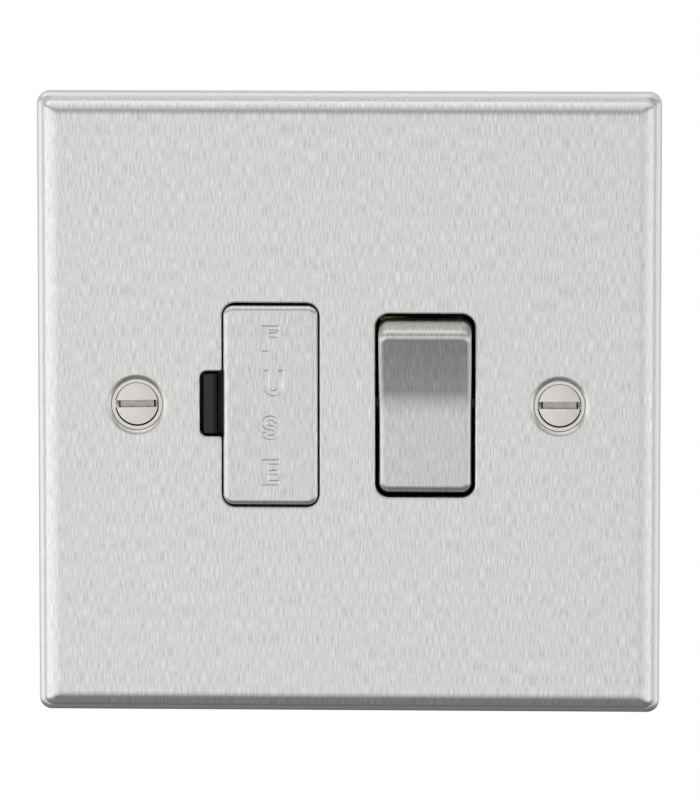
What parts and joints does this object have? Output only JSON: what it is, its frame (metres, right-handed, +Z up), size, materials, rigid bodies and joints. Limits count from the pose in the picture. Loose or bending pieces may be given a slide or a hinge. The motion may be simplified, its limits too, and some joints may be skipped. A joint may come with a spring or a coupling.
{
  "type": "switched fused connection unit",
  "caption": "Square metal wall plate with a rounded stepped edge, an upright pull-out fuse carrier on the left, a metal-capped rocker switch on the right and slotted fixing screws.",
  "frame": {"origin": "midway between the two fixing screws, on the wall's surface, where the plate's rim lies", "axes": "+Y into the wall, along the screws; the front faces -Y; +Z up, +X to the right as seen from the front"},
  "size_m": [0.0892, 0.0299, 0.0892],
  "materials": {
    "brushed_metal": "fine vertical brushing, satin",
    "polished_nickel": "polished",
    "black_moulding": "satin moulded",
    "black_rocker": "semi-gloss moulded",
    "brass": "satin stamped",
    "spring_steel": "drawn wire",
    "fuse_ceramic": "glazed",
    "zinc_steel": "zinc plated"
  },
  "bodies": {
    "unit": {"front_plate": "brushed_metal", "fixing_screw_left": "polished_nickel", "fixing_screw_right": "polished_nickel", "front_moulding": "black_moulding", "rear_base": "black_moulding", "assembly_screws": "zinc_steel", "terminal_screws": "zinc_steel", "earth_strap": "brass", "fuse_clip_supply": "brass", "fuse_clip_load": "brass", "live_contact_support": "brass", "neutral_contact_support": "brass", "live_fixed_contact": "brass", "neutral_fixed_contact": "brass", "supply_earth_terminal": "brass", "supply_live_terminal": "brass", "supply_neutral_terminal": "brass", "load_live_terminal": "brass", "load_earth_terminal": "brass", "load_neutral_terminal": "brass"},
    "fuse_drawer": {"fuse_cap": "brushed_metal", "fuse_carrier": "black_moulding", "fuse_tube": "fuse_ceramic", "fuse_end_cap_top": "polished_nickel", "fuse_end_cap_bottom": "polished_nickel"},
    "rocker": {"rocker_cap": "brushed_metal", "rocker_dolly": "black_rocker", "live_plunger": "black_rocker", "neutral_plunger": "black_rocker", "live_spring": "spring_steel", "neutral_spring": "spring_steel"},
    "live_arm": {"live_contact_arm": "brass"},
    "neutral_arm": {"neutral_contact_arm": "brass"}
  },
  "joints": [
    {"name": "fuse_slide", "type": "slide", "parent": "unit", "child": "fuse_drawer", "axis": [0, -1, 0], "range_m": [0, 0.012]},
    {"name": "rocker_tilt", "type": "hinge", "parent": "unit", "child": "rocker", "pos_m": [0.011, -0.0018, 0], "axis": [1, 0, 0], "range_deg": [-17, 0]},
    {"name": "live_arm_tilt", "type": "hinge", "parent": "unit", "child": "live_arm", "pos_m": [0.0076, 0.009, 0], "axis": [1, 0, 0], "range_deg": [0, 17]},
    {"name": "neutral_arm_tilt", "type": "hinge", "parent": "unit", "child": "neutral_arm", "pos_m": [0.0144, 0.009, 0], "axis": [1, 0, 0], "range_deg": [0, 17]}
  ],
  "couplings": [
    {"joint": "live_arm_tilt", "follows": "rocker_tilt", "ratio": -1},
    {"joint": "neutral_arm_tilt", "follows": "rocker_tilt", "ratio": -1}
  ]
}
